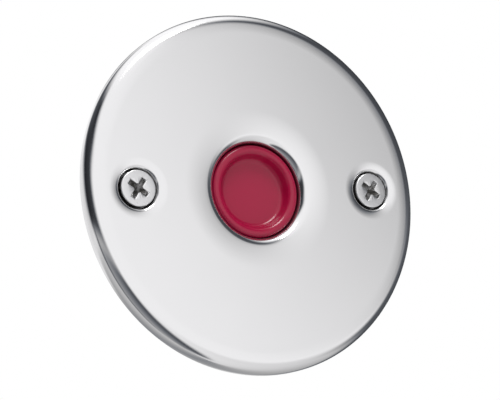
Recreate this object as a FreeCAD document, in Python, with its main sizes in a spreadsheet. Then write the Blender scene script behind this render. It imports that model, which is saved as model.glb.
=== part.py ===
import FreeCAD, Part
import math
import os
import re
import Sketcher
from FreeCAD import Vector

# Pneumatic push button for a wall: a pressed steel cover with a dished button in its drawn collar,
# and behind it a barrel with a spring and a bellows that sends a puff of air down a hose.
# Millimetres. The wall is the plane y = 0, the viewer is at -y, +z is up, and the button's axis is y.
# Each body is drawn about y = 0 and is moved to its seat by its Placement.

dimensions = {
    # cover: one pressed sheet with a turned-back edge, a drawn collar and two screw dimples
    "plateMargin": 13.75,
    "plateDepth": 4.5,
    "sheet": 1.2,
    "edgeRadius": 3.4,
    "collarGap": 0.3,
    "collarRounding": 4.3,
    "collarDepth": 5.0,
    "dimpleRadius": 5.05,
    "dimpleDepth": 2.9,
    "dimpleRounding": 2.2,
    # cover screws: countersunk, with a waist behind the head that keeps them captive
    "screwGap": 11.25,
    "screwHeadRadius": 4.64,
    "screwHeadLand": 1.3,
    "screwWaist": 2.0,
    "screwThread": 2.5,
    "screwHole": 2.75,
    "screwThreadGap": 0.6,
    "screwThreadLength": 12.0,
    "screwPoint": 0.6,
    "recessSpan": 5.9,
    "recessWidth": 1.4,
    "recessDepth": 1.9,
    "recessAngle": 54.0,
    "recessDraft": 8.0,
    "retainerRadius": 5.0,
    "retainerBore": 2.15,
    "retainerThickness": 1.0,
    # carrier: moulded disc that fills the cover and holds the barrel in its hub
    "carrierClearance": 0.3,
    "carrierWeb": 1.5,
    "carrierRimWall": 1.4,
    "carrierRimInset": 0.3,
    "hubWall": 3.2,
    "hubFloor": 3.0,
    "hubClearance": 0.2,
    "bossWall": 1.3,
    "bossFloor": 2.0,
    "ribWidth": 1.6,
    "ribCount": 8,
    "wallGasketRounding": 0.4,
    # barrel that the button slides in, with its gasket, lock washer and lock nut
    "guideClearance": 0.1,
    "shoulderWidth": 1.2,
    "shoulderDepth": 7.0,
    "sleeveStep": 0.6,
    "barrelWall": 1.8,
    "barrelFlatDepth": 0.6,
    "barrelChamfer": 0.6,
    "flangeWidth": 3.0,
    "flangeThickness": 2.0,
    "flangeGasket": 1.0,
    "sealWidth": 1.9,
    "sealDepth": 2.0,
    "guideRibHeight": 0.8,
    "guideRibWidth": 2.0,
    "guideRibCount": 3,
    "lockWasherWidth": 4.5,
    "lockWasherThickness": 1.0,
    "lockWasherNotch": 1.5,
    "lockWasherNotchDepth": 1.6,
    "lockWasherNotchCount": 12,
    "lockNutWall": 3.2,
    "lockNutThickness": 5.0,
    # button: a dished cap on a plunger, held together by a screw from behind
    "capRecess": 1.7,
    "capRadius": 12.3,
    "capRimWidth": 2.4,
    "capRimOuterRounding": 1.15,
    "capRimInnerRounding": 1.1,
    "dishSlope": 0.9,
    "dishDepth": 3.05,
    "dishRounding": 0.8,
    "capFloor": 1.8,
    "capWall": 1.8,
    "capBoss": 4.0,
    "capThreadReach": 0.5,
    "plungerSpigot": 1.5,
    "plungerLip": 1.5,
    "plungerClearance": 0.2,
    "plungerScrewRadius": 2.0,
    "plungerScrewHead": 4.0,
    "threadClearance": 0.05,
    # travel, spring and bellows
    "travel": 4.0,
    "stopGap": 0.1,
    "springWasherThickness": 0.8,
    "springWasherInside": 1.5,
    "springWasherOutside": 1.2,
    "springClearance": 1.0,
    "springWire": 1.0,
    "springTurns": 5.5,
    "bellowsFolds": 4,
    "bellowsWall": 0.7,
    "bellowsClearance": 1.8,
    "bellowsFoldDepth": 2.2,
    "bellowsEnd": 1.2,
    "bellowsRounding": 0.5,
    "bellowsNeck": 2.6,
    "bellowsFootGap": 1.4,
    "bellowsFoot": 1.5,
    "sleeveLength": 10.9,
    "sleeveWall": 1.7,
    "sleeveFloor": 2.0,
    "sleeveNeckGap": 0.3,
    "sleeveClearance": 0.1,
    # screwed base that closes the barrel, with its ring seal and the port for the hose nipple
    "baseSpigot": 5.5,
    "baseRingPlace": 2.7,
    "ringSection": 1.86,
    "ringSqueeze": 0.02,
    "ringGroove": 2.4,
    "baseHexSize": 30.0,
    "baseHexThickness": 4.0,
    "baseBossRadius": 8.0,
    "baseBossLength": 5.0,
    "baseBossRounding": 0.5,
    "portRadius": 4.9,
    "portDepth": 8.5,
    "airHole": 1.5,
    # hose nipple, its sealing washer and the union nut over the hose
    "nippleSeal": 1.0,
    "nippleSealRadius": 7.0,
    "nippleThread": 4.8,
    "nippleThreadLength": 7.5,
    "nippleHexSize": 14.0,
    "nippleHexThickness": 4.0,
    "unionThread": 5.0,
    "unionThreadLength": 5.0,
    "noseRadius": 2.0,
    "noseLength": 6.0,
    "noseBarb": 0.2,
    "noseBarbLength": 1.6,
    "noseTipWall": 0.3,
    "nippleBore": 1.2,
    "unionGap": 0.5,
    "unionRadius": 7.5,
    "unionFrontRounding": 0.4,
    "unionBackRounding": 1.2,
    "unionLength": 12.5,
    "unionThreadDepth": 6.0,
    "unionConeLength": 3.0,
    "hoseBore": 3.15,
    "unionGroove": 0.5,
    "unionGrooveCount": 18,
    # shared: thread chamfers, where a hexagon's corners begin to be turned off, and the margin by
    # which a cut or a rib runs past the edge it meets
    "threadChamfer": 0.5,
    "hexTurnedPart": 0.98,
    "overrun": 1.0,
}

doc = FreeCAD.newDocument("PushButton")
sizes = doc.addObject("Spreadsheet::Sheet", "Sizes")
for row, (alias, number) in enumerate(dimensions.items(), start=1):
    sizes.set("A%d" % row, alias)
    sizes.set("B%d" % row, str(number))
    sizes.setAlias("B%d" % row, alias)
doc.recompute()

# sizes and places that follow from the ones above; a place counts along the axis from the wall
follows = {
    "collarBore": "capRadius + collarGap",
    "guideBore": "capRadius + guideClearance",
    "sealBore": "capRadius + sealWidth",
    "chamberBore": "guideBore + shoulderWidth",
    "sleeveBore": "chamberBore + sleeveStep",
    "sleeveFit": "sleeveBore - sleeveClearance",
    "barrelRadius": "sleeveBore + barrelWall",
    "barrelHole": "barrelRadius + hubClearance",
    "barrelFlat": "barrelRadius - barrelFlatDepth",
    "flangeRadius": "barrelRadius + flangeWidth",
    "hubWell": "flangeRadius + carrierClearance",
    "hubRadius": "hubWell + hubWall",
    "screwOffset": "hubRadius + screwGap",
    "plateRadius": "screwOffset + plateMargin",
    "lockWasherRadius": "barrelRadius + lockWasherWidth",
    "lockNutSize": "2 * (barrelRadius + lockNutWall)",
    "capRimInner": "capRadius - capRimWidth",
    "dishFloorRadius": "capRimInner - dishSlope",
    "springRadius": "sleeveFit - sleeveWall - springClearance - springWire / 2",
    "springWasherBore": "springRadius - springWasherInside",
    "springWasherRadius": "springRadius + springWasherOutside",
    "bellowsCrest": "springRadius - springWire / 2 - bellowsClearance",
    "bellowsRoot": "bellowsCrest - bellowsFoldDepth",
    "bellowsFootRadius": "sleeveBore - bellowsFootGap",
    "sleeveNeck": "bellowsCrest + sleeveNeckGap",
    "dimpleBend": "min(dimpleRounding; 0.85 * dimpleDepth)",
    "dimpleBlank": "dimpleRadius + dimpleBend + sheet / 2",
    "carrierRadius": "plateRadius - sheet - carrierClearance",
    "bossWell": "dimpleRadius + sheet + carrierClearance",
    "carrierRim": "screwOffset + bossWell + bossWall",
    "face": "-plateDepth",
    "coverBack": "face + sheet",
    "dimpleBack": "coverBack + dimpleDepth",
    "bossBack": "dimpleBack + bossFloor",
    "retainerBack": "bossBack + retainerThickness",
    "threadFront": "retainerBack + screwThreadGap",
    "flangeFront": "face + collarDepth",
    "hubSeat": "flangeFront + flangeThickness + flangeGasket",
    "hubBack": "hubSeat + hubFloor",
    "lockNutFront": "hubBack + lockWasherThickness",
    "capFront": "face + capRecess",
    "lipFront": "flangeFront + shoulderDepth",
    "plungerFront": "lipFront - plungerSpigot",
    "lipBack": "lipFront + plungerLip",
    "sleeveFront": "lipBack + travel + stopGap",
    "footFront": "sleeveFront + sleeveLength",
    "baseFront": "footFront + bellowsFoot",
    "baseFlange": "baseFront + baseSpigot",
    "baseBack": "baseFlange + baseHexThickness + baseBossLength",
    "nippleHex": "baseBack + nippleSeal",
    "unionFront": "nippleHex + nippleHexThickness + unionGap",
}

size_words = re.compile(r"\b(%s)\b" % "|".join(dimensions))
following_words = re.compile(r"\b(%s)\b" % "|".join(follows))


def bound(text):
    # spells an expression out in the sheet's own sizes
    while following_words.search(text):
        text = following_words.sub(lambda word: "(%s)" % follows[word[1]], text)
    return size_words.sub(r"Sizes.\1", text)


def value(text):
    return float(sizes.evalExpression(bound(text)))


def new_body(label, place="0", several=False):
    body = doc.addObject("PartDesign::Body", label)
    body.Label = label
    body.AllowCompound = several
    body.setExpression("Placement.Base.y", bound(place))
    return body


def new_sketch(body, name, plane="XY_Plane", depth="0", turn="0"):
    # XY_Plane shows radius and depth along the axis; XZ_Plane is the view from the front, at a
    # depth and turned about the axis
    sketch = body.newObject("Sketcher::SketchObject", name)
    origin_plane = next(f for f in body.Origin.OriginFeatures if f.Role == plane)
    sketch.AttachmentSupport = [(origin_plane, "")]
    sketch.MapMode = "FlatFace"
    if depth != "0":
        sketch.setExpression("AttachmentOffset.Base.z", bound("-(%s)" % depth))
    if turn != "0":
        sketch.setExpression("AttachmentOffset.Rotation.Angle", bound(turn))
    return sketch


def tie(sketch, kind, target, text):
    # adds a dimension to a sketch and binds it to the sheet
    index = sketch.addConstraint(Sketcher.Constraint(kind, *target, value(text)))
    sketch.setExpression("Constraints[%d]" % index, bound(text))


def tie_point(sketch, geometry, end, x_text, y_text):
    for kind, text, axis in (("DistanceX", x_text, -2), ("DistanceY", y_text, -1)):
        if text == "0":
            sketch.addConstraint(Sketcher.Constraint("PointOnObject", geometry, end, axis))
        else:
            tie(sketch, kind, (-1, 1, geometry, end), text)


def corner_arc(spot, before, after, radius):
    # the arc that rounds a corner, where it starts and ends, and whether it turns left
    turn = before.getAngle(after)
    trim = radius * math.tan(turn / 2)
    enter, leave = spot - before * trim, spot + after * trim
    left = before.cross(after).z > 0
    side = Vector(-before.y, before.x, 0) * (1 if left else -1)
    centre = enter + side * radius
    first, last = (enter, leave) if left else (leave, enter)
    start = math.atan2(first.y - centre.y, first.x - centre.x)
    sweep = (math.atan2(last.y - centre.y, last.x - centre.x) - start) % (2 * math.pi)
    circle = Part.Circle(centre, Vector(0, 0, 1), radius)
    return Part.ArcOfCircle(circle, start, start + sweep), enter, leave, left


def draw_outline(sketch, corners):
    # closed outline through corners (x, y), or (x, y, rounding) where an arc takes the corner
    count = len(corners)
    spots = [Vector(value(c[0]), value(c[1]), 0) for c in corners]
    ways = [(spots[(i + 1) % count] - spots[i]).normalize() for i in range(count)]
    rounded = {}
    for i, corner in enumerate(corners):
        if len(corner) == 3:
            rounded[i] = corner_arc(spots[i], ways[i - 1], ways[i], value(corner[2]))
    lines = []
    for i in range(count):
        after = (i + 1) % count
        start = rounded[i][2] if i in rounded else spots[i]
        finish = rounded[after][1] if after in rounded else spots[after]
        lines.append(sketch.addGeometry(Part.LineSegment(start, finish), False))
    for i, corner in enumerate(corners):
        line_in, line_out = lines[i - 1], lines[i]
        if i not in rounded:
            sketch.addConstraint(Sketcher.Constraint("Coincident", line_in, 2, line_out, 1))
            tie_point(sketch, line_out, 1, corner[0], corner[1])
            continue
        shape, _, _, left = rounded[i]
        arc = sketch.addGeometry(shape, False)
        near, far = (1, 2) if left else (2, 1)
        sketch.addConstraint(Sketcher.Constraint("Tangent", line_in, 2, arc, near))
        sketch.addConstraint(Sketcher.Constraint("Tangent", arc, far, line_out, 1))
        tie(sketch, "Radius", (arc,), corner[2])
        spot = sketch.addGeometry(Part.Point(spots[i]), True)
        for line in (line_in, line_out):
            sketch.addConstraint(Sketcher.Constraint("PointOnObject", spot, 1, line))
        tie_point(sketch, spot, 1, corner[0], corner[1])


def draw_circle(sketch, x_text, y_text, radius_text):
    centre = Vector(value(x_text), value(y_text), 0)
    circle = Part.Circle(centre, Vector(0, 0, 1), value(radius_text))
    index = sketch.addGeometry(circle, False)
    tie(sketch, "Radius", (index,), radius_text)
    tie_point(sketch, index, 3, x_text, y_text)


def draw_box(sketch, left, right, low, high):
    draw_outline(sketch, [(left, low), (right, low), (right, high), (left, high)])


def draw_hexagon(sketch, across):
    # across is the size over the flats; two corners lie on the x axis
    corner, half = "%s / sqrt(3)" % across, "%s / (2 * sqrt(3))" % across
    flat = "%s / 2" % across
    draw_outline(sketch, [
        (corner, "0"), (half, flat), ("-" + half, flat),
        ("-" + corner, "0"), ("-" + half, "-" + flat), (half, "-" + flat),
    ])


def turn_about(body, name, kind, sketch, axis="V_Axis"):
    feature = body.newObject("PartDesign::" + kind, name)
    feature.Profile = sketch
    feature.ReferenceAxis = (sketch, [axis])
    feature.Angle = 360
    return feature


def turned(body, name, corners, kind="Revolution"):
    # a turned form, or with kind "Groove" a turned cut, about the button's axis
    sketch = new_sketch(body, name + "Outline")
    draw_outline(sketch, corners)
    return turn_about(body, name, kind, sketch)


def turned_ring(body, name, inner, outer, thickness):
    return turned(body, name, [
        (inner, "0"), (outer, "0"), (outer, thickness), (inner, thickness),
    ])


def turned_aside(body, name, corners, offset, kind="Revolution"):
    # turned about an axis beside the button's, with the corners' x counted from that axis
    sketch = new_sketch(body, name + "Outline")
    draw_outline(sketch, [("%s + (%s)" % (offset, c[0]),) + tuple(c[1:]) for c in corners])
    x = value(offset)
    axis = sketch.addGeometry(Part.LineSegment(Vector(x, 0, 0), Vector(x, 1, 0)), True)
    sketch.addConstraint(Sketcher.Constraint("Vertical", axis))
    tie_point(sketch, axis, 1, offset, "0")
    return turn_about(body, name, kind, sketch, "Axis0")


def raised(body, name, sketch, length):
    # material from a front-view sketch backwards
    pad = body.newObject("PartDesign::Pad", name)
    pad.Profile = sketch
    pad.Reversed = True
    pad.setExpression("Length", bound(length))
    return pad


def cut_back(body, name, sketch, length):
    # a cut from a front-view sketch backwards
    pocket = body.newObject("PartDesign::Pocket", name)
    pocket.Profile = sketch
    pocket.setExpression("Length", bound(length))
    return pocket


def repeat_round(body, name, features, count):
    # copies round the button's axis; count is a number or the name of a size
    pattern = body.newObject("PartDesign::PolarPattern", name)
    pattern.Originals = features
    pattern.Axis = (next(f for f in body.Origin.OriginFeatures if f.Role == "Y_Axis"), [""])
    pattern.Angle = 360
    if isinstance(count, str):
        pattern.setExpression("Occurrences", bound(count))
    else:
        pattern.Occurrences = count
    body.Tip = pattern
    return pattern


def cover_plate():
    body = new_body("cover_plate")
    side = "plateRadius - sheet"
    neck = "collarBore + sheet"
    turned(body, "PressedSheet", [
        ("plateRadius", "0"),
        ("plateRadius", "face", "edgeRadius"),
        ("collarBore", "face", "collarRounding"),
        ("collarBore", "flangeFront"),
        (neck, "flangeFront"),
        (neck, "coverBack", "collarRounding - sheet"),
        (side, "coverBack", "edgeRadius - sheet"),
        (side, "0"),
    ])
    blank = new_sketch(body, "DimpleBlankOutline", "XZ_Plane", "face")
    draw_circle(blank, "screwOffset", "0", "dimpleBlank")
    opened = cut_back(body, "DimpleBlank", blank, "sheet")
    floor = "face + dimpleDepth"
    seat = "(screwHeadRadius + screwHeadLand - dimpleDepth)"
    dimple = turned_aside(body, "Dimple", [
        ("dimpleBlank", "face"),
        ("dimpleRadius", "face", "dimpleBend"),
        ("dimpleRadius", floor),
        (seat, floor),
        ("screwHole", "%s + %s - screwHole" % (floor, seat)),
        ("screwHole", "dimpleBack"),
        ("dimpleRadius + sheet", "dimpleBack", "sheet / 2"),
        ("dimpleRadius + sheet", "coverBack"),
        ("dimpleBlank", "coverBack"),
    ], "screwOffset")
    repeat_round(body, "Dimples", [opened, dimple], 2)
    return body


def cross_outline(sketch, x_text, span, width, angle):
    # the four-armed recess of a screw, turned by an angle and centred at x
    def spot(along, across):
        return (
            "%s + (%s) * cos(%s) - (%s) * sin(%s)" % (x_text, along, angle, across, angle),
            "(%s) * sin(%s) + (%s) * cos(%s)" % (along, angle, across, angle),
        )
    arm, half = "%s / 2" % span, "%s / 2" % width
    draw_outline(sketch, [
        spot(arm, "-" + half), spot(arm, half), spot(half, half),
        spot(half, arm), spot("-" + half, arm), spot("-" + half, half),
        spot("-" + arm, half), spot("-" + arm, "-" + half), spot("-" + half, "-" + half),
        spot("-" + half, "-" + arm), spot(half, "-" + arm), spot(half, "-" + half),
    ])


def cover_screws():
    # drawn from the heads' faces, which lie flush with the cover's face
    body = new_body("cover_screws", "face", several=True)
    cone = "screwHeadLand + screwHeadRadius - screwWaist"
    start = "threadFront - face"
    end = "%s + screwThreadLength" % start
    shank = turned_aside(body, "Screw", [
        ("0", "0"),
        ("screwHeadRadius", "0"),
        ("screwHeadRadius", "screwHeadLand"),
        ("screwWaist", cone),
        ("screwWaist", start),
        ("screwThread", start),
        ("screwThread", end + " - screwPoint"),
        ("screwThread - screwPoint", end),
        ("0", end),
    ], "screwOffset")
    cross = new_sketch(body, "RecessOutline", "XZ_Plane")
    cross_outline(cross, "screwOffset", "recessSpan", "recessWidth", "recessAngle")
    recess = cut_back(body, "Recess", cross, "recessDepth")
    recess.setExpression("TaperAngle", bound("-recessDraft"))
    repeat_round(body, "Screws", [shank, recess], 2)
    return body


def screw_retainers():
    body = new_body("screw_retainers", "bossBack", several=True)
    washer = turned_aside(body, "Retainer", [
        ("retainerBore", "0"), ("retainerRadius", "0"),
        ("retainerRadius", "retainerThickness"), ("retainerBore", "retainerThickness"),
    ], "screwOffset")
    repeat_round(body, "Retainers", [washer], 2)
    return body


def carrier_plate():
    body = new_body("carrier_plate", "coverBack")
    rim_inside = "carrierRim - carrierRimWall"
    rim_back = "-coverBack - carrierRimInset"
    seat = "hubSeat - coverBack"
    back = "hubBack - coverBack"
    turned(body, "Disc", [
        ("hubWell", "0"),
        ("plateRadius - edgeRadius", "0"),
        ("carrierRadius", "carrierWeb"),
        ("carrierRim", "carrierWeb"),
        ("carrierRim", rim_back),
        (rim_inside, rim_back),
        (rim_inside, "carrierWeb"),
        ("hubRadius", "carrierWeb", "carrierWeb / 2"),
        ("hubRadius", back),
        ("barrelHole", back),
        ("barrelHole", seat),
        ("hubWell", seat),
    ])
    boss_outline = new_sketch(body, "BossOutline", "XZ_Plane")
    draw_circle(boss_outline, "screwOffset", "0", "bossWell + bossWall")
    boss = raised(body, "Boss", boss_outline, "bossBack - coverBack")
    well_outline = new_sketch(body, "BossWellOutline", "XZ_Plane")
    draw_circle(well_outline, "screwOffset", "0", "bossWell")
    dimple_room = cut_back(body, "BossWell", well_outline, "dimpleBack - coverBack")
    hole_outline = new_sketch(body, "BossHoleOutline", "XZ_Plane")
    draw_circle(hole_outline, "screwOffset", "0", "screwHole")
    boss_hole = cut_back(body, "BossHole", hole_outline, "bossBack - coverBack")
    repeat_round(body, "Bosses", [boss, dimple_room, boss_hole], 2)
    flat_outline = new_sketch(body, "FlatOutline", "XZ_Plane", seat)
    flat, over = "barrelFlat + hubClearance", "barrelHole + overrun"
    draw_box(flat_outline, flat, over, "-barrelRadius / 2", "barrelRadius / 2")
    key_flat = raised(body, "KeyFlat", flat_outline, "hubFloor")
    repeat_round(body, "KeyFlats", [key_flat], 2)
    rib_outline = new_sketch(body, "RibOutline", "XZ_Plane", "carrierWeb", "180 / ribCount")
    rib_end = "carrierRim - carrierRimWall / 2"
    draw_box(rib_outline, "-ribWidth / 2", "ribWidth / 2", "hubRadius - hubWall / 2", rib_end)
    rib = raised(body, "Rib", rib_outline, "%s - carrierWeb" % rim_back)
    repeat_round(body, "Ribs", [rib], "ribCount")
    return body


def wall_gasket():
    body = new_body("wall_gasket", "coverBack + carrierWeb")
    inner = "carrierRim + carrierClearance / 2"
    outer = "carrierRadius - carrierClearance / 2"
    thickness = "-coverBack - carrierWeb"
    turned(body, "Gasket", [
        (inner, "0"),
        (outer, "0"),
        (outer, thickness, "wallGasketRounding"),
        (inner, thickness, "wallGasketRounding"),
    ])
    return body


def button_housing():
    body = new_body("button_housing", "flangeFront")
    step = "sleeveFront - flangeFront"
    end = "baseFlange - flangeFront"
    turned(body, "Barrel", [
        ("sealBore", "0"),
        ("flangeRadius", "0", "flangeThickness / 4"),
        ("flangeRadius", "flangeThickness"),
        ("barrelRadius", "flangeThickness"),
        ("barrelRadius", end + " - barrelChamfer"),
        ("barrelRadius - barrelChamfer", end),
        ("sleeveBore", end),
        ("sleeveBore", step),
        ("chamberBore", step),
        ("chamberBore", "shoulderDepth"),
        ("guideBore", "shoulderDepth"),
        ("guideBore", "sealDepth"),
        ("sealBore", "sealDepth"),
    ])
    flat_outline = new_sketch(body, "FlatOutline", "XZ_Plane", "flangeThickness")
    draw_box(flat_outline, "barrelFlat", "barrelRadius + overrun", "-barrelRadius", "barrelRadius")
    flat = cut_back(body, "Flat", flat_outline, "%s - flangeThickness" % end)
    repeat_round(body, "Flats", [flat], 2)
    rib_outline = new_sketch(body, "GuideRibOutline", "XZ_Plane", "shoulderDepth")
    wide = "guideRibWidth / 2"
    low = "chamberBore - guideRibHeight"
    draw_box(rib_outline, "-" + wide, wide, low, "chamberBore + guideRibHeight / 2")
    rib = raised(body, "GuideRib", rib_outline, "%s - shoulderDepth" % step)
    repeat_round(body, "GuideRibs", [rib], "guideRibCount")
    return body


def flange_gasket():
    body = new_body("flange_gasket", "flangeFront + flangeThickness")
    turned_ring(body, "Gasket", "barrelHole", "flangeRadius - hubClearance", "flangeGasket")
    return body


def lock_washer():
    body = new_body("lock_washer", "hubBack")
    turned_ring(body, "Washer", "barrelHole", "lockWasherRadius", "lockWasherThickness")
    notch_outline = new_sketch(body, "NotchOutline", "XZ_Plane")
    wide = "lockWasherNotch / 2"
    low = "lockWasherRadius - lockWasherNotchDepth"
    draw_box(notch_outline, "-" + wide, wide, low, "lockWasherRadius + overrun")
    notch = cut_back(body, "Notch", notch_outline, "lockWasherThickness")
    repeat_round(body, "Notches", [notch], "lockWasherNotchCount")
    return body


def hexagon_chamfer(across):
    # where the turned chamfer of a hexagon starts, how far out it runs and how deep it gets there
    flat = "%s / 2 * hexTurnedPart" % across
    corner = "%s / sqrt(3) + overrun" % across
    return flat, corner, "((%s) - (%s)) * tan(30)" % (corner, flat)


def chamfer_front(body, name, across):
    flat, corner, rise = hexagon_chamfer(across)
    turned(body, name, [(flat, "0"), (corner, "0"), (corner, rise)], "Groove")


def chamfer_back(body, name, across, back):
    flat, corner, rise = hexagon_chamfer(across)
    outline = [(flat, back), (corner, "%s - %s" % (back, rise)), (corner, back)]
    turned(body, name, outline, "Groove")


def lock_nut():
    body = new_body("lock_nut", "lockNutFront")
    hexagon = new_sketch(body, "NutOutline", "XZ_Plane")
    draw_hexagon(hexagon, "lockNutSize")
    draw_circle(hexagon, "0", "0", "barrelHole")
    raised(body, "Nut", hexagon, "lockNutThickness")
    chamfer_front(body, "FrontChamfer", "lockNutSize")
    chamfer_back(body, "BackChamfer", "lockNutSize", "lockNutThickness")
    return body


def push_button():
    # drawn from the crest of the rim; the skirt ends on the plunger's lip
    body = new_body("push_button", "capFront")
    skirt_end = "lipFront - capFront"
    inner = "capRadius - capWall"
    floor_back = "dishDepth + capFloor"
    boss_end = skirt_end + " - plungerSpigot"
    hole = "plungerScrewRadius + threadClearance"
    turned(body, "Cap", [
        ("0", "dishDepth"),
        ("dishFloorRadius", "dishDepth", "dishRounding"),
        ("capRimInner", "0", "capRimInnerRounding"),
        ("capRadius", "0", "capRimOuterRounding"),
        ("capRadius", skirt_end),
        (inner, skirt_end),
        (inner, floor_back, "dishRounding"),
        ("capBoss", floor_back),
        ("capBoss", boss_end),
        (hole, boss_end),
        (hole, floor_back + " - capThreadReach"),
        ("0", floor_back + " - capThreadReach"),
    ])
    return body


def plunger():
    # a spigot inside the cap's skirt and a lip that stops on the barrel's shoulder
    body = new_body("plunger", "plungerFront")
    back = "(plungerSpigot + plungerLip)"
    spigot = "capRadius - capWall - plungerClearance"
    lip = "(chamberBore - plungerClearance)"
    hole = "(plungerScrewRadius + threadClearance)"
    sink = "(plungerScrewHead + threadClearance)"
    turned(body, "Disc", [
        (hole, "0"),
        (spigot, "0"),
        (spigot, "plungerSpigot"),
        (lip, "plungerSpigot"),
        (lip, back),
        (sink, back),
        (hole, "%s - %s + %s" % (back, sink, hole)),
    ])
    slot_outline = new_sketch(body, "SlotOutline", "XZ_Plane", "plungerSpigot")
    wide = "(guideRibWidth / 2 + plungerClearance)"
    low = "chamberBore - guideRibHeight - plungerClearance"
    draw_box(slot_outline, "-" + wide, wide, low, "chamberBore + overrun")
    slot = cut_back(body, "Slot", slot_outline, "plungerLip")
    repeat_round(body, "Slots", [slot], "guideRibCount")
    return body


def plunger_screw():
    # drawn from its tip in the cap's boss to its head, flush in the plunger's back
    tip = "capFront + dishDepth + capFloor"
    body = new_body("plunger_screw", tip)
    head = "lipBack - (%s)" % tip
    turned(body, "Screw", [
        ("0", "0"),
        ("plungerScrewRadius", "0"),
        ("plungerScrewRadius", "%s - plungerScrewHead + plungerScrewRadius" % head),
        ("plungerScrewHead", head),
        ("0", head),
    ])
    return body


def wiper_seal():
    # a ring in the barrel's mouth, held down by the collar, whose lip leans on the cap
    body = new_body("wiper_seal", "flangeFront")
    lip = "capRadius + threadClearance"
    outer = "sealBore - threadClearance"
    turned(body, "Seal", [
        (lip, "0"),
        (lip + " + sealDepth / 3", "0"),
        (lip + " + sealDepth / 3", "sealDepth / 2"),
        (outer + " - sealDepth / 3", "sealDepth / 2"),
        (outer + " - sealDepth / 3", "0"),
        (outer, "0"),
        (outer, "sealDepth"),
        (lip + " + sealDepth / 5", "sealDepth"),
    ])
    return body


def spring_washer():
    body = new_body("spring_washer", "lipBack")
    turned_ring(body, "Washer", "springWasherBore", "springWasherRadius", "springWasherThickness")
    return body


def return_spring():
    # a round wire wound on a helix, with both ends ground flat on their seats
    body = new_body("return_spring", "lipBack + springWasherThickness")
    length = "footFront - sleeveFloor - lipBack - springWasherThickness"
    wire = new_sketch(body, "WireOutline")
    draw_circle(wire, "springRadius", "springWire / 4", "springWire / 2")
    helix = body.newObject("PartDesign::AdditiveHelix", "Coil")
    helix.Profile = wire
    helix.ReferenceAxis = (wire, ["V_Axis"])
    helix.Mode = "height-turns-growth"
    helix.setExpression("Height", bound(length + " - springWire / 2"))
    helix.setExpression("Turns", bound("springTurns"))
    for name, depth in (("FrontFlat", "-springWire"), ("BackFlat", length)):
        ground = new_sketch(body, name + "Outline", "XZ_Plane", depth)
        draw_circle(ground, "0", "0", "springRadius + 2 * springWire")
        cut_back(body, name, ground, "springWire")
    return body


def bellows():
    # a rubber wave between a closed front end and a flat foot
    body = new_body("bellows", "lipBack")
    foot = "footFront - lipBack"
    back = foot + " + bellowsFoot"
    pitch = "(%s - bellowsEnd - bellowsNeck) / bellowsFolds" % foot
    root, crest = "bellowsRoot", "bellowsCrest"
    root_inside, crest_inside = "bellowsRoot - 2 * bellowsWall", "bellowsCrest - 2 * bellowsWall"
    outside = [("0", "0"), (root, "0", "bellowsRounding"), (root, "bellowsEnd")]
    inside = [("0", "bellowsEnd"), (root_inside, "bellowsEnd")]
    for fold in range(dimensions["bellowsFolds"]):
        top = "bellowsEnd + %s * %s" % (pitch, fold + 0.5)
        low = "bellowsEnd + %s * %s" % (pitch, fold + 1)
        outside += [(crest, top, "bellowsRounding"), (root, low, "bellowsRounding")]
        inside += [(crest_inside, top, "bellowsRounding"), (root_inside, low, "bellowsRounding")]
    outside += [
        (root, foot), ("bellowsFootRadius", foot), ("bellowsFootRadius", back), (root_inside, back),
    ]
    turned(body, "Wave", outside + inside[::-1])
    return body


def stop_sleeve():
    # an open cup: its front edge stops the plunger and its floor clamps the bellows' foot
    body = new_body("stop_sleeve", "sleeveFront")
    inner = "sleeveFit - sleeveWall"
    floor = "sleeveLength - sleeveFloor"
    turned(body, "Sleeve", [
        (inner, "0"), ("sleeveFit", "0"), ("sleeveFit", "sleeveLength"),
        ("sleeveNeck", "sleeveLength"), ("sleeveNeck", floor), (inner, floor),
    ])
    return body


def chamber_base():
    body = new_body("chamber_base", "baseFront")
    groove = "sleeveBore - ringSection - ringSqueeze"
    low = "baseRingPlace - ringGroove / 2"
    high = "baseRingPlace + ringGroove / 2"
    back = "baseBack - baseFront"
    port_end = "%s - portDepth" % back
    hexagon = new_sketch(body, "HexOutline", "XZ_Plane", "baseSpigot")
    draw_hexagon(hexagon, "baseHexSize")
    raised(body, "Hexagon", hexagon, "baseHexThickness")
    chamfer_back(body, "BackChamfer", "baseHexSize", "baseSpigot + baseHexThickness")
    turned(body, "Spigot", [
        ("0", "0"), ("sleeveFit", "0"), ("sleeveFit", low), (groove, low), (groove, high),
        ("sleeveFit", high), ("sleeveFit", "baseSpigot"),
        ("baseBossRadius", "baseSpigot + baseHexThickness / 2"),
        ("baseBossRadius", back, "baseBossRounding"), ("0", back),
    ])
    turned(body, "Port", [
        ("0", port_end), ("portRadius", port_end), ("portRadius", back), ("0", back),
    ], "Groove")
    turned(body, "AirWay", [
        ("0", "0"), ("airHole", "0"), ("airHole", port_end), ("0", port_end),
    ], "Groove")
    return body


def base_ring():
    body = new_body("base_ring", "baseFront + baseRingPlace")
    sketch = new_sketch(body, "SectionOutline")
    draw_circle(sketch, "sleeveBore - ringSection / 2 - ringSqueeze / 2", "0", "ringSection / 2")
    turn_about(body, "Ring", "Revolution", sketch)
    return body


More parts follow.
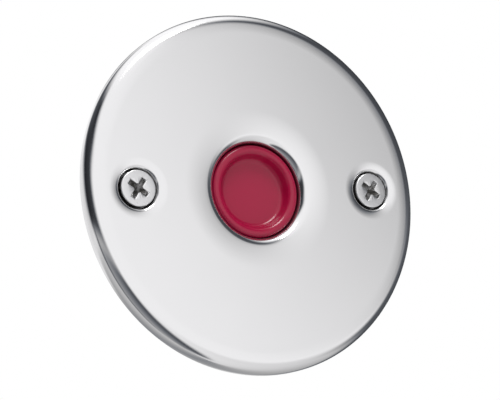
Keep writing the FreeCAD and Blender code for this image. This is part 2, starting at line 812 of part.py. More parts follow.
def hose_nipple():
    # drawn from the front face of its hexagon, which presses on the sealing washer
    body = new_body("hose_nipple", "nippleHex")
    shoulder = "nippleHexThickness + unionThreadLength"
    tip = shoulder + " + noseLength"
    hexagon = new_sketch(body, "HexOutline", "XZ_Plane")
    draw_hexagon(hexagon, "nippleHexSize")
    raised(body, "Hexagon", hexagon, "nippleHexThickness")
    chamfer_front(body, "FrontChamfer", "nippleHexSize")
    chamfer_back(body, "BackChamfer", "nippleHexSize", "nippleHexThickness")
    turned(body, "Stem", [
        ("nippleBore", "-nippleThreadLength"),
        ("nippleThread - threadChamfer", "-nippleThreadLength"),
        ("nippleThread", "threadChamfer - nippleThreadLength"),
        ("nippleThread", "0"),
        ("unionThread", "nippleHexThickness"),
        ("unionThread", shoulder + " - threadChamfer"),
        ("unionThread - threadChamfer", shoulder),
        ("noseRadius", shoulder),
        ("noseRadius", tip + " - noseBarbLength"),
        ("noseRadius + noseBarb", tip + " - noseBarbLength + noseBarb"),
        ("nippleBore + noseTipWall", tip),
        ("nippleBore", tip),
    ])
    start = "-nippleThreadLength"
    bore = [("0", start), ("nippleBore", start), ("nippleBore", tip), ("0", tip)]
    turned(body, "Bore", bore, "Groove")
    return body


def nipple_seal():
    body = new_body("nipple_seal", "baseBack")
    turned_ring(body, "Seal", "nippleThread + sleeveClearance", "nippleSealRadius", "nippleSeal")
    return body


def hose_nut():
    body = new_body("hose_nut", "unionFront")
    thread = "unionThread + sleeveClearance"
    turned(body, "Nut", [
        (thread, "0"),
        ("unionRadius", "0", "unionFrontRounding"),
        ("unionRadius", "unionLength", "unionBackRounding"),
        ("hoseBore", "unionLength"),
        ("hoseBore", "unionThreadDepth + unionConeLength"),
        (thread, "unionThreadDepth"),
    ])
    groove_outline = new_sketch(body, "GripOutline", "XZ_Plane")
    draw_circle(groove_outline, "0", "unionRadius + unionGroove / 2", "unionGroove")
    grip = cut_back(body, "Grip", groove_outline, "unionLength")
    repeat_round(body, "Grips", [grip], "unionGrooveCount")
    return body


sub_parts = [
    cover_plate(), cover_screws(), screw_retainers(), carrier_plate(), wall_gasket(),
    button_housing(), flange_gasket(), lock_washer(), lock_nut(),
    push_button(), plunger(), plunger_screw(), wiper_seal(),
    spring_washer(), return_spring(), bellows(), stop_sleeve(),
    chamber_base(), base_ring(), hose_nipple(), nipple_seal(), hose_nut(),
]
doc.recompute()

failed = [o.Name for o in doc.Objects if "Invalid" in o.State or "Error" in o.State]
failed += [b.Label for b in sub_parts if b.Shape.isNull() or not b.Shape.isValid()]
if failed:
    raise RuntimeError("these failed to build: " + ", ".join(failed))

os.makedirs("parts", exist_ok=True)
for body in sub_parts:
    body.Shape.exportStep("parts/%s.step" % body.Label)
    box = body.Shape.BoundBox
    print("%-16s %d solid, %9.1f mm3, y %6.2f to %6.2f, radius %5.2f" % (
        body.Label, len(body.Shape.Solids), body.Shape.Volume, box.YMin, box.YMax, box.XMax))
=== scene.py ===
import math

import bmesh
import bpy
from mathutils import Matrix, Vector
from mathutils.geometry import delaunay_2d_cdt


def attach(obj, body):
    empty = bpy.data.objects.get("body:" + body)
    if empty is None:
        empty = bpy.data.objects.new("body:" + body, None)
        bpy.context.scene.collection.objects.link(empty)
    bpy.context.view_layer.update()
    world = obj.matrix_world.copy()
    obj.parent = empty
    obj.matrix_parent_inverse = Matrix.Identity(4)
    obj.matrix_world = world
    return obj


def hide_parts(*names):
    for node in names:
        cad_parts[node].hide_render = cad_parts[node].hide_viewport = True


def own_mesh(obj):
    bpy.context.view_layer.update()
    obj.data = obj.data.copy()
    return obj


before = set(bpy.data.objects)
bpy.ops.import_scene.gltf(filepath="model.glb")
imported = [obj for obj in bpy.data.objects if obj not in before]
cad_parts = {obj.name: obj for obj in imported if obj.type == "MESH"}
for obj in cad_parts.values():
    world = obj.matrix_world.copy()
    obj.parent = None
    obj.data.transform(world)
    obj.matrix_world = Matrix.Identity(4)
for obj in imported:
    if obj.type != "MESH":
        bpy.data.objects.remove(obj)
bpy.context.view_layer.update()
mm = 0.001
print("frame loaded:", len(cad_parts), "nodes")


def roundCorner(before, corner, after, rounding, stepDegrees):
    # the points of the arc that takes a corner of an outline
    spot = Vector(corner[:2])
    toBefore = Vector(before[:2]) - spot
    toAfter = Vector(after[:2]) - spot
    shortest = min(toBefore.length, toAfter.length)
    toBefore.normalize()
    toAfter.normalize()
    half = toBefore.angle(toAfter) / 2
    turn = math.pi - 2 * half
    if turn < 0.02 or half < 0.02:
        return [tuple(spot)]
    if len(corner) < 3:
        rounding = min(rounding, 0.35 * shortest * math.tan(half))
    centre = spot + (toBefore + toAfter).normalized() * (rounding / math.sin(half))
    start = spot + toBefore * (rounding / math.tan(half)) - centre
    side = -1 if toBefore.cross(toAfter) > 0 else 1
    count = max(2, math.ceil(math.degrees(turn) / stepDegrees))
    points = []
    for i in range(count + 1):
        angle = side * turn * i / count
        cosine, sine = math.cos(angle), math.sin(angle)
        points.append((centre.x + start.x * cosine - start.y * sine,
                       centre.y + start.x * sine + start.y * cosine))
    return points


def outlinePoints(corners, ease=0.15, closed=True, stepDegrees=10):
    # corners are (radius, depth) or (radius, depth, rounding); a function of the angle passes through
    points = []
    count = len(corners)
    for i, corner in enumerate(corners):
        before, after = corners[i - 1], corners[(i + 1) % count]
        atEnd = not closed and i in (0, count - 1)
        if callable(corner) or callable(before) or callable(after) or atEnd:
            points.append(corner if callable(corner) else tuple(corner[:2]))
            continue
        rounding = corner[2] if len(corner) > 2 else ease
        if rounding <= 0:
            points.append(tuple(corner[:2]))
            continue
        points += roundCorner(before, corner, after, rounding, stepDegrees)
    return points


def evenAngles(count, extra=()):
    # angles round the axis, with some more where an edge has to fall
    angles = [2 * math.pi * i / count for i in range(count)]
    for angle in extra:
        near = min(range(len(angles)), key=lambda i: abs(angles[i] - angle % (2 * math.pi)))
        angles[near] = angle % (2 * math.pi)
    return sorted(angles)


def latheInto(builder, points, angles, closed=True, centre=0.0):
    # turns an outline about the y axis, or about one beside it, into a mesh being built
    rows = []
    for point in points:
        if not callable(point) and abs(point[0]) < 1e-9:
            rows.append([builder.verts.new((centre * mm, point[1] * mm, 0))])
            continue
        row = []
        for angle in angles:
            radius, depth = point(angle) if callable(point) else point
            row.append(builder.verts.new(((centre + radius * math.cos(angle)) * mm, depth * mm,
                                          radius * math.sin(angle) * mm)))
        rows.append(row)
    pairs = list(zip(rows, rows[1:]))
    if closed:
        pairs.append((rows[-1], rows[0]))
    count = len(angles)
    for low, high in pairs:
        if len(low) == 1 and len(high) == 1:
            continue
        for i in range(count):
            j = (i + 1) % count
            corners = [low[i % len(low)], low[j % len(low)], high[j % len(high)], high[i % len(high)]]
            corners = list(dict.fromkeys(corners))
            if len(corners) > 2:
                builder.faces.new(corners)


def meshFrom(builder, name):
    # merges what meets, turns the faces outwards and hands the mesh over
    bmesh.ops.remove_doubles(builder, verts=builder.verts, dist=2e-7)
    bmesh.ops.dissolve_degenerate(builder, edges=builder.edges, dist=1e-8)
    bmesh.ops.recalc_face_normals(builder, faces=builder.faces)
    mesh = bpy.data.meshes.new(name)
    builder.to_mesh(mesh)
    builder.free()
    return mesh


def turnedMesh(name, points, angles, closed=True):
    # a mesh turned in one go
    builder = bmesh.new()
    latheInto(builder, points, angles, closed)
    return meshFrom(builder, name)


def threadRows(radius, depth, pitch, start, end, perPitch, limit=None):
    # rows of a screw thread: the radius follows a rounded V that climbs with the angle
    count = max(2, round((end - start) / pitch * perPitch))
    rows = []
    for i in range(count + 1):
        place = start + (end - start) * i / count
        fade = min(1, (place - start) / pitch * 1.6, (end - place) / pitch * 1.6)

        def spot(angle, place=place, fade=fade):
            phase = (place / pitch - angle / (2 * math.pi)) % 1
            wave = abs(2 * phase - 1)
            wave = min(1, max(0, (wave - 0.1) / 0.72))
            here = radius - depth * fade * wave
            if limit:
                here = min(here, limit(angle))
            return here, place
        rows.append(spot)
    return rows


turnedShare = 0.98  # of a hexagon's half width: where its turned-off corners begin


def hexRadius(angle, across):
    # the distance to a hexagon's side; corners lie on the x axis
    return across / 2 / math.cos(angle % (math.pi / 3) - math.pi / 6)


def hexEdge(across, place, inwards):
    # the hexagon's edge after its corners were turned off at 30 degrees
    def spot(angle):
        reach = hexRadius(angle, across)
        rise = max(0, reach - across / 2 * turnedShare) * math.tan(math.radians(30))
        return reach, place + inwards * rise
    return spot


def addPiece(name, mesh, finish, body, replaced, sharpDegrees):
    # a finished mesh becomes a piece that rides on its body and stands for its node
    piece = bpy.data.objects.new(name, mesh)
    bpy.context.scene.collection.objects.link(piece)
    mesh.materials.append(finish)
    mesh.shade_smooth()
    mesh.set_sharp_from_angle(angle=math.radians(sharpDegrees))
    modifier = piece.modifiers.new("evenNormals", "WEIGHTED_NORMAL")
    modifier.keep_sharp = True
    modifier.weight = 60
    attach(piece, body)
    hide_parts(replaced)
    return piece


class Wire:
    # wraps a socket so that sums on values can be written as they are said
    def __init__(self, maker, socket):
        self.maker = maker
        self.socket = socket

    def sum(self, operation, *values):
        node = self.maker.add("ShaderNodeMath", {"operation": operation}, dict(enumerate(values)))
        return Wire(self.maker, node.outputs[0])

    def __add__(self, other):
        return self.sum("ADD", self, other)

    def __radd__(self, other):
        return self.sum("ADD", other, self)

    def __sub__(self, other):
        return self.sum("SUBTRACT", self, other)

    def __rsub__(self, other):
        return self.sum("SUBTRACT", other, self)

    def __mul__(self, other):
        return self.sum("MULTIPLY", self, other)

    def __rmul__(self, other):
        return self.sum("MULTIPLY", other, self)

    def __pow__(self, other):
        return self.sum("POWER", self, other)

    def apply(self, operation, *values):
        return self.sum(operation, self, *values)


class Maker:
    # builds one node tree
    def __init__(self, tree):
        self.tree = tree
        tree.nodes.clear()

    def add(self, kind, settings=None, inputs=None):
        node = self.tree.nodes.new(kind)
        for key, value in (settings or {}).items():
            setattr(node, key, value)
        for key, value in (inputs or {}).items():
            socket = node.inputs[key]
            if isinstance(value, Wire):
                value = value.socket
            if isinstance(value, bpy.types.NodeSocket):
                self.tree.links.new(value, socket)
            else:
                socket.default_value = value
        return node

    def wire(self, kind, settings=None, inputs=None, output=0):
        return Wire(self, self.add(kind, settings, inputs).outputs[output])

    def ramp(self, value, low, high, smooth=True):
        # 0 below low and 1 above high
        kind = "SMOOTHSTEP" if smooth else "LINEAR"
        return self.wire("ShaderNodeMapRange", {"interpolation_type": kind},
                         {"Value": value, "From Min": low, "From Max": high})

    def blend(self, share, one, other):
        # a Mix node's colour sockets are 6, 7 and output 2
        return self.wire("ShaderNodeMix", {"data_type": "RGBA"}, {0: share, 6: one, 7: other}, 2)

    def speckle(self, where, scale, detail, roughness=0.55):
        return self.wire("ShaderNodeTexNoise", None, {
            "Vector": where, "Scale": scale, "Detail": detail, "Roughness": roughness})

    def stretched(self, where, scale):
        return self.wire("ShaderNodeMapping", None, {"Vector": where, "Scale": scale})

    def bump(self, height, strength, distance):
        return self.wire("ShaderNodeBump", None, {
            "Height": height, "Strength": strength, "Distance": distance * mm})

    def corners(self, radius):
        # 1 on edges that stand proud and get rubbed
        rounded = self.wire("ShaderNodeBevel", {"samples": 4}, {"Radius": radius * mm})
        flat = self.wire("ShaderNodeNewGeometry", output="Normal")
        turned = self.wire("ShaderNodeVectorMath", {"operation": "DOT_PRODUCT"},
                           {0: rounded, 1: flat}, "Value")
        return self.ramp(1 - turned, 0.0, 0.15)


def newFinish(name, base, varying):
    # a Principled material: base holds its fixed sockets, varying returns the linked ones
    material = bpy.data.materials.new(name)
    material.use_nodes = True
    maker = Maker(material.node_tree)
    where = maker.wire("ShaderNodeTexCoord", output="Object")
    inputs = dict(base)
    inputs.update(varying(maker, where))
    shader = maker.add("ShaderNodeBsdfPrincipled", None, inputs)
    maker.add("ShaderNodeOutputMaterial", None, {"Surface": shader.outputs[0]})
    return material


coverSteelLook = {
    "colour": (0.83, 0.83, 0.835, 1), "darker": (0.79, 0.79, 0.80, 1),
    # the dark grey below is painted shade for the collar and dimple walls
    "roughness": 0.085, "roughnessSpread": 0.05, "grain": 0.02, "paintedShade": (0.25, 0.25, 0.255, 1),
    "paintedShadeFrom": -3.3, "paintedShadeTo": -2.3, "paintedShadeHigher": 0.75, "paintedShadeWithin": 41.0,
}


def coverSteelNodes(maker, where):
    look = coverSteelLook
    cloud = maker.speckle(where, 28, 3)  # rolled sheet is never quite even
    fine = maker.speckle(where, 900, 2)
    streak = maker.speckle(maker.stretched(where, (60, 60, 1800)), 1.0, 2)
    rough = look["roughness"] + look["roughnessSpread"] * cloud + 0.03 * streak
    height = fine * 0.5 + streak * 0.5
    parts = maker.add("ShaderNodeSeparateXYZ", None, {0: where})
    x, y, z = [Wire(maker, parts.outputs[i]) for i in range(3)]
    fromAxis = (x * x + z * z) ** 0.5
    # painted shade darkens the steel down in the collar, and stands higher in the narrow dimples
    higher = maker.ramp(fromAxis, 24 * mm, 26 * mm) * (look["paintedShadeHigher"] * mm)
    paintedShade = maker.ramp(y + higher, look["paintedShadeFrom"] * mm, look["paintedShadeTo"] * mm)
    within = look["paintedShadeWithin"]
    paintedShade = paintedShade * (1 - maker.ramp(fromAxis, within * mm, (within + 1) * mm))
    steel = maker.blend(cloud, look["darker"], look["colour"])
    return {
        # the steel is blended towards dark grey there: painted shade that dims its reflections
        "Base Color": maker.blend(paintedShade * 0.85, steel, look["paintedShade"]),
        "Roughness": rough + 0.2 * paintedShade,
        "Normal": maker.bump(height, look["grain"], 0.02),
    }


screwSteelLook = {
    "colour": (0.80, 0.80, 0.81, 1), "stain": (0.42, 0.40, 0.38, 1), "roughness": 0.26,
    # the recess colour is painted shade for the cross recess
    "recess": (0.24, 0.235, 0.225, 1), "recessFrom": -4.42, "recessTo": -3.9, "recessEnd": -2.3,
}


def screwSteelNodes(maker, where):
    look = screwSteelLook
    cloud = maker.speckle(where, 300, 4)
    sand = maker.speckle(where, 2600, 2)
    pits = maker.ramp(sand, 0.60, 0.72)
    parts = maker.add("ShaderNodeSeparateXYZ", None, {0: where})
    # painted shade: the cross recess is darkened, in patches, below the head's face
    y = Wire(maker, parts.outputs[1])
    deep = maker.ramp(y, look["recessFrom"] * mm, look["recessTo"] * mm)
    deep = deep * (1 - maker.ramp(y, look["recessEnd"] * mm, (look["recessEnd"] + 0.3) * mm))
    patch = maker.ramp(maker.speckle(where, 620, 2), 0.40, 0.60)
    steel = maker.blend(pits * 0.35, look["colour"], look["stain"])
    return {
        # the recess is blended towards dark grey in patches: painted shade
        "Base Color": maker.blend(deep * (0.35 + 0.6 * patch), steel, look["recess"]),
        "Roughness": look["roughness"] + 0.16 * cloud,
        "Normal": maker.bump(sand, 0.30, 0.02),
    }


platedSteelLook = {
    "colour": (0.66, 0.67, 0.66, 1), "tint": (0.60, 0.60, 0.52, 1), "roughness": 0.30,
}


def platedSteelNodes(maker, where):
    look = platedSteelLook
    cloud = maker.speckle(where, 160, 4)
    rub = maker.corners(0.15)
    return {
        "Base Color": maker.blend(maker.ramp(cloud, 0.45, 0.7), look["colour"], look["tint"]),
        "Roughness": look["roughness"] + 0.2 * cloud - 0.1 * rub,
        "Normal": maker.bump(maker.speckle(where, 1400, 2), 0.12, 0.02),
    }


nickelBrassLook = {
    "colour": (0.72, 0.69, 0.63, 1), "worn": (0.72, 0.54, 0.28, 1), "roughness": 0.22,
}


def nickelBrassNodes(maker, where):
    look = nickelBrassLook
    rub = maker.corners(0.12) * maker.ramp(maker.speckle(where, 500, 3), 0.45, 0.62)
    rings = maker.speckle(maker.stretched(where, (40, 3500, 40)), 1.0, 2)  # marks of the turning tool
    return {
        "Base Color": maker.blend(rub * 0.55, look["colour"], look["worn"]),
        "Roughness": look["roughness"] + 0.14 * rings,
        "Normal": maker.bump(rings, 0.18, 0.02),
    }


redPlasticLook = {
    "colour": (0.335, 0.003, 0.039, 1), "worn": (0.39, 0.008, 0.054, 1), "roughness": 0.15,
}


def redPlasticNodes(maker, where):
    look = redPlasticLook
    cloud = maker.speckle(where, 90, 3)
    grain = maker.speckle(where, 2600, 2)
    rub = maker.corners(0.8)
    return {
        "Base Color": maker.blend(rub * 0.4 + cloud * 0.15, look["colour"], look["worn"]),
        "Roughness": look["roughness"] + 0.08 * cloud + 0.05 * grain,
        "Normal": maker.bump(grain, 0.10, 0.02),
    }


blackPlasticLook = {
    "colour": (0.030, 0.031, 0.033, 1), "worn": (0.075, 0.075, 0.078, 1), "roughness": 0.42,
}


def blackPlasticNodes(maker, where):
    look = blackPlasticLook
    grain = maker.speckle(where, 1300, 3)  # eroded surface of the mould
    cloud = maker.speckle(where, 60, 3)
    rub = maker.corners(0.3)
    return {
        "Base Color": maker.blend(rub * 0.7 + cloud * 0.2, look["colour"], look["worn"]),
        "Roughness": look["roughness"] + 0.15 * cloud - 0.08 * rub,
        "Normal": maker.bump(grain, 0.35, 0.03),
    }


whiteNylonLook = {"colour": (0.70, 0.69, 0.65, 1), "shade": (0.58, 0.56, 0.50, 1), "roughness": 0.4}


def whiteNylonNodes(maker, where):
    look = whiteNylonLook
    cloud = maker.speckle(where, 110, 4)
    return {
        "Base Color": maker.blend(cloud, look["shade"], look["colour"]),
        "Roughness": look["roughness"] + 0.15 * cloud,
        "Normal": maker.bump(maker.speckle(where, 1500, 2), 0.2, 0.02),
    }


blackRubberLook = {
    "colour": (0.022, 0.022, 0.023, 1), "bloom": (0.085, 0.084, 0.082, 1), "roughness": 0.62,
}


def blackRubberNodes(maker, where):
    look = blackRubberLook
    cloud = maker.speckle(where, 120, 5, 0.6)
    grain = maker.speckle(where, 1800, 3)
    return {
        "Base Color": maker.blend(maker.ramp(cloud, 0.5, 0.8) * 0.6, look["colour"], look["bloom"]),
        "Roughness": look["roughness"] + 0.2 * cloud,
        "Normal": maker.bump(grain, 0.4, 0.03),
    }


coverSteel = newFinish("coverSteel", {"Metallic": 1.0}, coverSteelNodes)
screwSteel = newFinish("screwSteel", {"Metallic": 1.0}, screwSteelNodes)
platedSteel = newFinish("platedSteel", {"Metallic": 1.0}, platedSteelNodes)
nickelBrass = newFinish("nickelBrass", {"Metallic": 1.0}, nickelBrassNodes)
redPlastic = newFinish("redPlastic", {"IOR": 1.47}, redPlasticNodes)
blackPlastic = newFinish("blackPlastic", {"IOR": 1.5}, blackPlasticNodes)
whiteNylon = newFinish("whiteNylon", {
    "IOR": 1.53, "Subsurface Weight": 0.08, "Subsurface Scale": 0.001}, whiteNylonNodes)
blackRubber = newFinish("blackRubber", {"IOR": 1.5, "Specular IOR Level": 0.35}, blackRubberNodes)
print("finishes ready")


cover = {
    "radius": 47.5, "front": -4.5, "sheet": 1.2, "edgeRounding": 3.4, "edgeReach": 41.9,
    "edgeSink": 0.09,
    "collarBore": 12.45, "collarRounding": 2.6, "collarEnd": 0.5, "collarReach": 21.0,
    "collarSink": 0.22,
    "dimplePlace": 33.75, "dimpleRadius": 4.95, "dimpleRounding": 1.3, "dimpleDepth": 2.9,
    "dimpleReach": 8.0, "dimpleSink": 0.15, "screwHole": 2.75, "screwSeat": 3.04,
    "turns": 192, "collarTurns": 240, "dimpleTurns": 96,
}


def pressedEdge(reach, wall, rounding, front, sink, bottom, stepDegrees):
    # the sheet dips ever more steeply from reach towards a wall, then turns down it
    way = 1 if reach > wall else -1
    flat = abs(reach - wall) - rounding
    slope = math.atan(2 * sink / flat)
    start = wall + way * rounding * math.tan(math.pi / 4 - slope / 2)
    points = []
    steps = 9
    for i in range(steps + 1):
        share = i / steps
        points.append((reach + (start - reach) * share, front + sink * share * share))
    slope = math.atan(2 * sink / abs(reach - start))
    corner = (wall, front + sink + abs(start - wall) * math.tan(slope), rounding)
    return points[:-1] + roundCorner(points[-1], corner, (wall, bottom), rounding, stepDegrees)


def coverSheetMesh():
    c = cover
    front, back = c["front"], c["front"] + c["sheet"]
    inner = c["edgeRounding"] - c["sheet"]
    wallInside = c["radius"] - c["sheet"]
    edgeStart = c["edgeReach"]
    builder = bmesh.new()
    # turned-back edge, from the front face round to the back face
    edge = pressedEdge(edgeStart, c["radius"], c["edgeRounding"], front, c["edgeSink"], 0, 4)
    edge += outlinePoints([
        (c["radius"], -0.5), (c["radius"], 0), (wallInside, 0), (wallInside, back, inner),
        (edgeStart, back),
    ], 0.12, False, 4)
    around = evenAngles(c["turns"])
    latheInto(builder, edge, around, False)
    # collar drawn inwards round the button
    bore, reach = c["collarBore"], c["collarReach"]
    collar = pressedEdge(reach, bore, c["collarRounding"], front, c["collarSink"], c["collarEnd"], 4)
    collar += outlinePoints([
        (bore, -0.5), (bore, c["collarEnd"]), (bore + c["sheet"], c["collarEnd"]),
        (bore + c["sheet"], back, c["collarRounding"] - c["sheet"]), (reach, back),
    ], 0.12, False, 5)
    collarAround = evenAngles(c["collarTurns"])
    latheInto(builder, collar, collarAround, False)
    # a dimple for each screw
    wall, hole, dimpleReach = c["dimpleRadius"], c["screwHole"], c["dimpleReach"]
    floor = front + c["dimpleDepth"]
    dimple = pressedEdge(dimpleReach, wall, c["dimpleRounding"], front, c["dimpleSink"], floor, 6)
    dimple += outlinePoints([
        (wall, floor - 0.5), (wall - 0.05, floor, 0.15), (c["screwSeat"], floor),
        (hole, floor + c["screwSeat"] - hole), (hole, floor + c["sheet"]),
        (wall + c["sheet"], floor + c["sheet"], c["sheet"] / 2), (wall + c["sheet"], back),
        (dimpleReach, back),
    ], 0.1, False, 7)
    dimpleAround = evenAngles(c["dimpleTurns"])
    for side in (1, -1):
        latheInto(builder, dimple, dimpleAround, False, side * c["dimplePlace"])
    # flat faces between them
    loops = [(0, edgeStart, around), (0, reach, collarAround)]
    loops += [(side * c["dimplePlace"], dimpleReach, dimpleAround) for side in (1, -1)]
    spots, edges = [], []
    for x, radius, angles in loops:
        first = len(spots)
        spots += [Vector((x + radius * math.cos(a), radius * math.sin(a))) for a in angles]
        edges += [(first + i, first + (i + 1) % len(angles)) for i in range(len(angles))]
    verts, _, faces, *_ = delaunay_2d_cdt(spots, edges, [], 0, 1e-6)
    for depth in (front, back):
        made = [builder.verts.new((v.x * mm, depth * mm, v.y * mm)) for v in verts]
        for face in faces:
            middle = sum((verts[i] for i in face), Vector((0, 0))) / len(face)
            inDimple = Vector((abs(middle.x) - c["dimplePlace"], middle.y)).length < dimpleReach
            if reach < middle.length < edgeStart and not inDimple:
                builder.faces.new([made[i] for i in face])
    loose = [v for v in builder.verts if not v.link_faces]
    bmesh.ops.delete(builder, geom=loose, context="VERTS")
    return meshFrom(builder, "coverSheet")


addPiece("coverSheet", coverSheetMesh(), coverSteel, "unit", "cover_plate", 50)
print("cover plate ready")


screw = {
    "place": 33.75, "front": -4.5, "headRadius": 4.64, "headLand": 1.3, "edgeRounding": 0.26,
    "waist": 2.0, "threadFrom": 3.2, "thread": 2.5, "pitch": 0.8, "threadEnd": 15.2,
    "threadDepth": 0.46, "tip": 1.85, "faceFrom": 3.0,
    "recessSpan": 5.9, "recessWidth": 1.4, "recessDepth": 1.9, "recessTurn": 54.0,
    "recessCorner": 0.32, "tilt": {1: 0.14, -1: 0.02},
}


def crossReach(angle, arm, width, corner):
    # the distance to the outline of a cross with arms along 0, 90, 180 and 270 degrees
    share = angle % (math.pi / 2)
    if share > math.pi / 4:
        share = math.pi / 2 - share
    x, y = math.cos(share), math.sin(share)
    along = arm / x
    side = width / y if y > 1e-9 else 1e9
    reach = min(along, side)
    inner = width * math.sqrt(2)
    # rounds the inside corner between two arms
    blend = max(0.0, 1 - abs(share - math.pi / 4) / 0.5)
    return max(reach, inner + corner * blend * blend)


def screwMesh(name, side):
    s = screw
    builder = bmesh.new()
    turn = math.radians(s["recessTurn"])
    arm, half = s["recessSpan"] / 2, s["recessWidth"] / 2
    front = s["front"]
    angles = []
    for quarter in range(4):  # angles lie closer where the cross turns its corners
        base = quarter * math.pi / 2 + turn
        tip = math.atan2(half, arm)
        for share in (-1, -0.9, -0.5, 0, 0.5, 0.9, 1):
            angles.append(base + tip * share)
        for i in range(1, 17):
            angles.append(base + tip + (math.pi / 2 - 2 * tip) * i / 17)
    angles = sorted(a % (2 * math.pi) for a in angles)

    def crossRow(depth, shrink, wider=0.0):
        def spot(angle):
            long, across = arm - shrink + wider, half - shrink * 0.55 + wider
            return crossReach(angle - turn, long, across, s["recessCorner"]), front + depth
        return spot
    deep = s["recessDepth"]
    rows = [(0.0, front + deep + 0.25)]
    rows += [crossRow(deep, 1.55), crossRow(deep - 0.35, 0.95), crossRow(deep * 0.5, 0.35),
             crossRow(0.18, 0.06), crossRow(0.05, 0.0), crossRow(0.0, 0.0, 0.09)]
    head = s["headRadius"]
    cone = s["headLand"] + head - s["waist"]
    body = outlinePoints([
        (s["faceFrom"] + 0.2, front), (head, front, s["edgeRounding"]), (head, front + s["headLand"]),
        (s["waist"], front + cone), (s["waist"], s["threadFrom"] - 0.3),
    ], 0.1, False, 15)
    rows += [lambda angle: (max(s["faceFrom"], crossReach(angle - turn, arm, half, 0.3) + 0.25), front)]
    rows += body
    rows += [(s["waist"], s["threadFrom"]), (s["thread"] - 0.35, s["threadFrom"] + 0.05)]
    rows += threadRows(s["thread"], s["threadDepth"], s["pitch"], s["threadFrom"] + 0.1,
                       s["threadEnd"] - 0.45, 10)
    rows += [(s["tip"], s["threadEnd"]), (0.0, s["threadEnd"])]
    latheInto(builder, rows, angles, False, side * s["place"])
    # no screw seats quite square
    tilt, spot = s["tilt"][side], side * s["place"]
    for vert in builder.verts:
        share = max(0, 1 - (vert.co.y / mm - front) / s["headLand"])
        vert.co.y += share * tilt * (1 + (vert.co.x / mm - spot) / head) * mm
    return meshFrom(builder, name)


for name, side in (("coverScrewRight", 1), ("coverScrewLeft", -1)):
    addPiece(name, screwMesh(name, side), screwSteel, "unit", "cover_screws", 32)
print("cover screws ready")


button = {
    "radius": 12.3, "crest": -2.8, "rimInner": 9.9, "dishRadius": 9.0, "dishFloor": 0.25,
    "dishRounding": 1.4, "outerRounding": 1.2, "innerRounding": 1.35, "back": 7.5,
    "wallInside": 10.5, "floorBack": 2.05, "boss": 4.0, "bossBack": 6.0, "bore": 2.05,
    "boreFront": 1.55, "turns": 240, "sag": 0.07, "flatShare": 0.88,
}


def buttonCapMesh():
    b = button
    middle, reach, steps = b["dishFloor"] + b["sag"], b["dishRadius"] * b["flatShare"], 8
    floor = [(0.0, middle)]
    for i in range(1, steps):  # the dish hollows a little to its middle
        share = i / steps
        floor.append((reach * share, middle - b["sag"] * share * share))
    rim = outlinePoints([
        (reach, b["dishFloor"]), (b["dishRadius"], b["dishFloor"], b["dishRounding"]),
        (b["rimInner"], b["crest"], b["innerRounding"]), (b["radius"], b["crest"], b["outerRounding"]),
        (b["radius"], b["back"]), (b["wallInside"], b["back"]),
        (b["wallInside"], b["floorBack"], 0.8), (b["boss"], b["floorBack"], 0.4),
        (b["boss"], b["bossBack"]), (b["bore"], b["bossBack"]), (b["bore"], b["boreFront"]),
        (0.0, b["boreFront"]),
    ], 0.2, False, 5)
    return turnedMesh("buttonCap", floor + rim[1:], evenAngles(b["turns"]), False)


addPiece("buttonCap", buttonCapMesh(), redPlastic, "button", "push_button", 50)
print("push button ready")


barrel = {
    "radius": 16.0, "flat": 15.4, "flange": 19.0, "front": 0.5, "flangeBack": 2.5, "back": 31.0,
    "sealBore": 14.2, "guideBore": 12.4, "chamberBore": 13.6, "guideEnd": 7.5, "step": 13.1,
    "sealEnd": 2.5, "backBore": 14.2, "backEdge": 15.0, "pitch": 1.5, "threadDepth": 0.75, "turns": 128,
    "ribHeight": 0.8, "ribWidth": 2.0, "ribCount": 3,
}


def barrelMesh():
    b = barrel
    edge = math.acos(b["flat"] / b["radius"])
    angles = evenAngles(b["turns"], [edge, -edge, math.pi - edge, math.pi + edge])

    def limit(angle):
        return b["flat"] / max(1e-6, abs(math.cos(angle)))

    def within(radius, depth):
        return lambda angle: (min(radius, limit(angle)), depth)
    rows = outlinePoints([
        (b["chamberBore"], b["guideEnd"]), (b["guideBore"], b["guideEnd"]), (b["guideBore"], b["sealEnd"]),
        (b["sealBore"], b["sealEnd"]), (b["sealBore"], b["front"]),
        (b["flange"], b["front"], 0.5), (b["flange"], b["flangeBack"]),
        (b["radius"] + 0.2, b["flangeBack"]),
    ], 0.15, False)
    rows += [within(b["radius"], b["flangeBack"] + 0.02), within(b["radius"], b["flangeBack"] + 1.0)]
    rows += threadRows(b["radius"], b["threadDepth"], b["pitch"], b["flangeBack"] + 1.1,
                       b["back"] - 0.9, 12, limit)
    rows += [within(b["radius"], b["back"] - 0.7), within(b["radius"] - 0.1, b["back"] - 0.6),
             (b["backEdge"], b["back"]), (b["backBore"] + 0.2, b["back"]),
             (b["backBore"], b["back"] - 0.2), (b["backBore"], b["step"] + 0.02),
             (b["backBore"] - 0.1, b["step"]), (b["chamberBore"], b["step"]),
             (b["chamberBore"], b["step"] - 0.1)]
    return turnedMesh("barrelShell", rows, angles)


def guideRibMesh(name, turn):
    # a rib inside the barrel that keeps the plunger from turning
    b = barrel
    builder = bmesh.new()
    half, low, high = b["ribWidth"] / 2, b["chamberBore"] - b["ribHeight"], b["chamberBore"] + 0.3
    outline = [(-half, high), (-half, low + 0.2), (-half + 0.2, low),
               (half - 0.2, low), (half, low + 0.2), (half, high)]
    rows = []
    for depth in (b["guideEnd"], b["step"]):
        rows.append([builder.verts.new((x * mm, depth * mm, z * mm)) for x, z in outline])
    count = len(outline)
    for i in range(count):
        j = (i + 1) % count
        builder.faces.new((rows[0][i], rows[0][j], rows[1][j], rows[1][i]))
    builder.faces.new(rows[0])
    builder.faces.new(list(reversed(rows[1])))
    bmesh.ops.rotate(builder, verts=builder.verts, cent=(0, 0, 0), matrix=Matrix.Rotation(turn, 3, "Y"))
    return meshFrom(builder, name)


